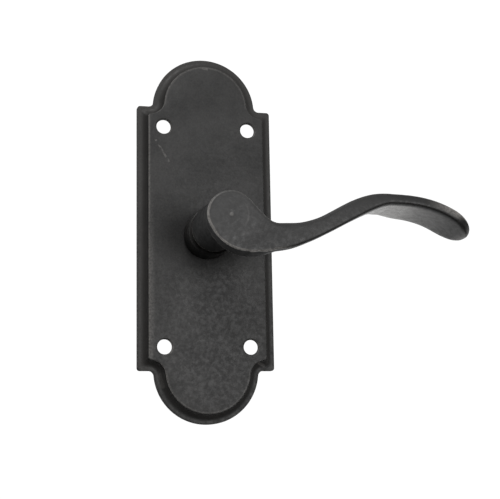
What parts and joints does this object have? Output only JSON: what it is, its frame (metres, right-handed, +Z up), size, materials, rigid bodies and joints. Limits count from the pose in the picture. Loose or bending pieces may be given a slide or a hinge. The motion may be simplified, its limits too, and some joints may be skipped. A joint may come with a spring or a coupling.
{
  "type": "door lever handle",
  "caption": "Scroll-shaped door lever on a shaped backplate with four screw holes, return spring and square spindle.",
  "frame": {"origin": "on the spindle's axis, at the backplate's door face", "axes": "+Z up along the backplate, -Y out of the door towards the user, +X from the spindle's axis towards the lever's tip at rest"},
  "size_m": [0.1283, 0.0903, 0.154],
  "materials": {
    "plate_iron": "matt black waxed iron, slightly mottled",
    "collar_iron": "matt black turned iron",
    "lever_iron": "matt black iron, rubbed lighter on the edges",
    "bearing_bronze": "plain bored bronze",
    "washer_bronze": "darkened bronze",
    "spindle_steel": "drawn square bar",
    "screw_steel": "blacked steel",
    "pressed_steel": "pressed sheet",
    "pin_steel": "turned pin",
    "spring_steel": "oil-tempered spring steel"
  },
  "bodies": {
    "plate": {"backplate": "plate_iron", "neck_collar": "collar_iron", "bearing_sleeve": "bearing_bronze", "thrust_washer": "washer_bronze", "return_spring": "spring_steel", "spring_anchor_pin": "pin_steel", "rest_stop_pin": "pin_steel", "travel_stop_pin": "pin_steel", "spring_cover": "pressed_steel", "cover_rivet_1": "pin_steel", "cover_rivet_2": "pin_steel", "cover_rivet_3": "pin_steel", "cover_rivet_4": "pin_steel"},
    "lever": {"lever": "lever_iron", "spindle": "spindle_steel", "grub_screw": "screw_steel", "cam_plate": "pressed_steel", "cam_pin": "pin_steel", "retaining_ring": "spring_steel"}
  },
  "joints": [
    {"name": "lever_turn", "type": "hinge", "parent": "plate", "child": "lever", "pos_m": [0, 0, 0], "axis": [0, 1, 0], "range_deg": [0, 40], "stiffness_Nm_per_rad": 0.6, "springref_deg": -28.65, "deforming": ["return_spring"]}
  ]
}
